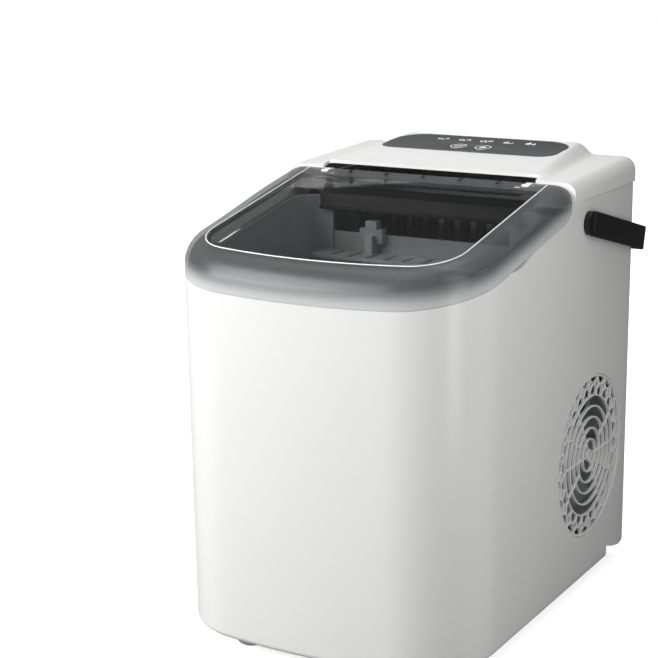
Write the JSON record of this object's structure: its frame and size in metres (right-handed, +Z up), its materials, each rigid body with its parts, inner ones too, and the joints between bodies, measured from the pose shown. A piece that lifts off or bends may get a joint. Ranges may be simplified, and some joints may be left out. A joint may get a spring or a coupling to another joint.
{
  "type": "ice maker",
  "caption": "Countertop ice maker: white wrap-round housing, tilting smoked lid over an ice tub, rear cover with control panel, side fan guard and folding carry handle.",
  "frame": {"origin": "centre of the bounding box on the ground plane, under the feet", "axes": "+X towards the side with the fan guard, -Y towards the lid and ice tub at the front, +Z up"},
  "size_m": [0.236, 0.3142, 0.3185],
  "materials": {
    "white_housing": "smooth white moulding with a soft gloss",
    "base_plastic": "plain light grey moulding",
    "smoked_lid": "clear smoked moulding with a polished face",
    "dark_panel": "dark grey smooth panel",
    "circuit_board": "green board with black parts",
    "tub_liner": "mid grey satin moulding",
    "insulation": "pale foam",
    "clear_basket": "cloudy clear moulding",
    "pale_plastic": "pale grey satin moulding",
    "evaporator_metal": "dull plated metal",
    "fin_metal": "thin bare fins",
    "bright_steel": "plain steel",
    "copper_line": "bare copper tube",
    "painted_steel": "black painted pressing",
    "black_plastic": "black satin moulding",
    "hose_rubber": "soft black rubber"
  },
  "bodies": {
    "housing": {"body_shell": "white_housing", "back_panel": "white_housing", "base_tray": "base_plastic", "top_cover": "white_housing", "fan_grille": "white_housing", "lid_pin_left": "bright_steel", "lid_pin_right": "bright_steel", "control_overlay": "dark_panel", "control_board": "circuit_board", "inner_tub": "tub_liner", "tub_foam": "insulation", "basket_stand": "tub_liner", "evaporator": "evaporator_metal", "tray_motor": "black_plastic", "chamber_hood": "black_plastic", "ice_sensor_left": "black_plastic", "ice_sensor_right": "black_plastic", "water_pump": "black_plastic", "pump_hose": "hose_rubber", "drain_fitting": "pale_plastic", "drain_hose": "hose_rubber", "compressor": "painted_steel", "compressor_mount_1": "hose_rubber", "compressor_mount_2": "hose_rubber", "compressor_mount_3": "hose_rubber", "condenser": "fin_metal", "fan_shroud": "black_plastic", "fan_motor": "black_plastic", "discharge_line": "copper_line", "filter_drier": "copper_line", "suction_line": "copper_line", "capillary_line": "copper_line", "handle_pivot_left": "black_plastic", "handle_pivot_right": "black_plastic", "power_board": "circuit_board", "cord_gland": "black_plastic", "back_screw_1": "bright_steel", "back_screw_2": "bright_steel", "back_screw_3": "bright_steel", "back_screw_4": "bright_steel", "foot_front_left": "base_plastic", "foot_front_right": "base_plastic", "foot_rear_left": "base_plastic", "foot_rear_right": "base_plastic"},
    "lid": {"lid_frame": "smoked_lid", "lid_window": "smoked_lid"},
    "handle": {"carry_handle": "black_plastic"},
    "fan": {"fan_rotor": "black_plastic"},
    "tray": {"water_tray": "pale_plastic", "tray_shaft": "bright_steel"},
    "shovel": {"ice_shovel": "tub_liner"},
    "basket": {"ice_basket": "clear_basket"},
    "power_key": {"power_button": "dark_panel"},
    "select_key": {"select_button": "dark_panel"},
    "plug": {"drain_plug": "pale_plastic"}
  },
  "joints": [
    {"name": "lid_hinge", "type": "hinge", "parent": "housing", "child": "lid", "pos_m": [0, 0.01941, 0.301], "axis": [-1, 0, 0], "range_deg": [0, 75]},
    {"name": "handle_swing", "type": "hinge", "parent": "housing", "child": "handle", "pos_m": [0, 0.05041, 0.275], "axis": [1, 0, 0], "range_deg": [0, 105]},
    {"name": "fan_spin", "type": "hinge", "parent": "housing", "child": "fan", "pos_m": [0.093, 0.06651, 0.1014], "axis": [1, 0, 0], "continuous": true},
    {"name": "tray_tilt", "type": "hinge", "parent": "housing", "child": "tray", "pos_m": [0, 0.06091, 0.246], "axis": [1, 0, 0], "range_deg": [0, 65]},
    {"name": "shovel_slide", "type": "slide", "parent": "housing", "child": "shovel", "axis": [0, -1, 0], "range_m": [0, 0.022]},
    {"name": "basket_lift", "type": "slide", "parent": "housing", "child": "basket", "axis": [0, 0, 1], "range_m": [0, 0.014]},
    {"name": "power_press", "type": "slide", "parent": "housing", "child": "power_key", "axis": [0, 0.087, -0.9962], "range_m": [0, 0.0004], "stiffness_N_per_m": 400},
    {"name": "select_press", "type": "slide", "parent": "housing", "child": "select_key", "axis": [0, 0.087, -0.9962], "range_m": [0, 0.0004], "stiffness_N_per_m": 400},
    {"name": "plug_pull", "type": "slide", "parent": "housing", "child": "plug", "axis": [-1, 0, 0], "range_m": [0, 0.012]}
  ],
  "couplings": [
    {"joint": "shovel_slide", "follows": "tray_tilt", "m_per_rad": 0.019}
  ]
}
